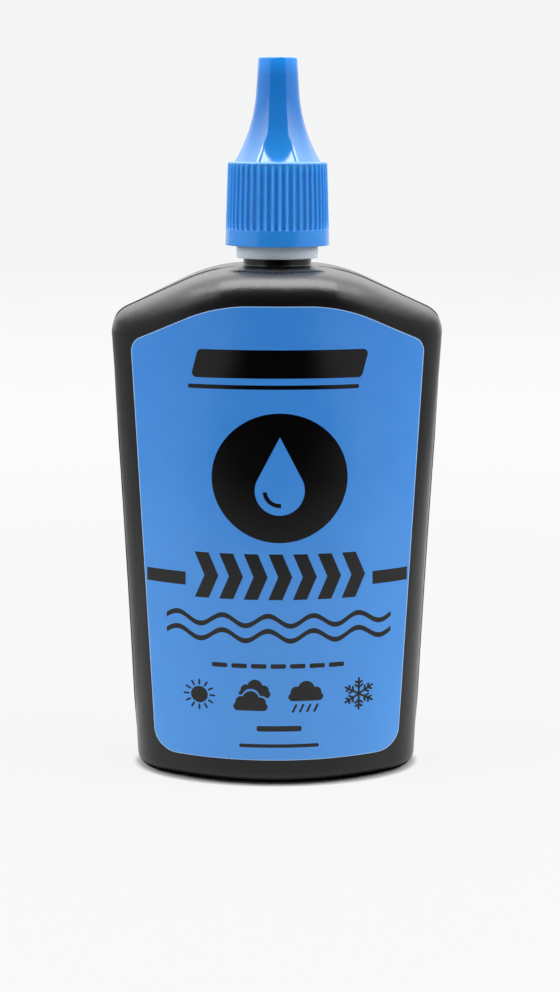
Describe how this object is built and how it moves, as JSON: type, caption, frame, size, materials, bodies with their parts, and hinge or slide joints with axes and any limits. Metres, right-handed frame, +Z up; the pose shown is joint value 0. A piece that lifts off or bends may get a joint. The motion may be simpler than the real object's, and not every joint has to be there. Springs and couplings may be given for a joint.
{
  "type": "chain oil squeeze bottle",
  "caption": "Oval squeeze bottle for bicycle chain oil with a sloped shoulder, a front label, a dropper spout snapped on its neck and a ribbed, flared screw cap.",
  "frame": {"origin": "middle of the plane that the bottle stands on, below its neck", "axes": "+Z up along the neck, the label faces -Y, the bottle's wide sides lie along X"},
  "size_m": [0.065, 0.0341, 0.1405],
  "materials": {
    "bottle_black": "satin black blown polyethylene with a fine mould grain",
    "label_film": "printed blue film label with a pale cut edge, semi-gloss",
    "spout_natural": "natural, slightly translucent soft polyethylene",
    "cap_blue": "glossy blue moulded polypropylene"
  },
  "bodies": {
    "bottle": {"bottle": "bottle_black", "front_label": "label_film", "dropper_spout": "spout_natural"},
    "cap": {"cap": "cap_blue"}
  },
  "joints": [
    {"name": "cap_lift", "type": "slide", "parent": "bottle", "child": "cap", "axis": [0, 0, 1], "range_m": [0, 0.04]}
  ]
}
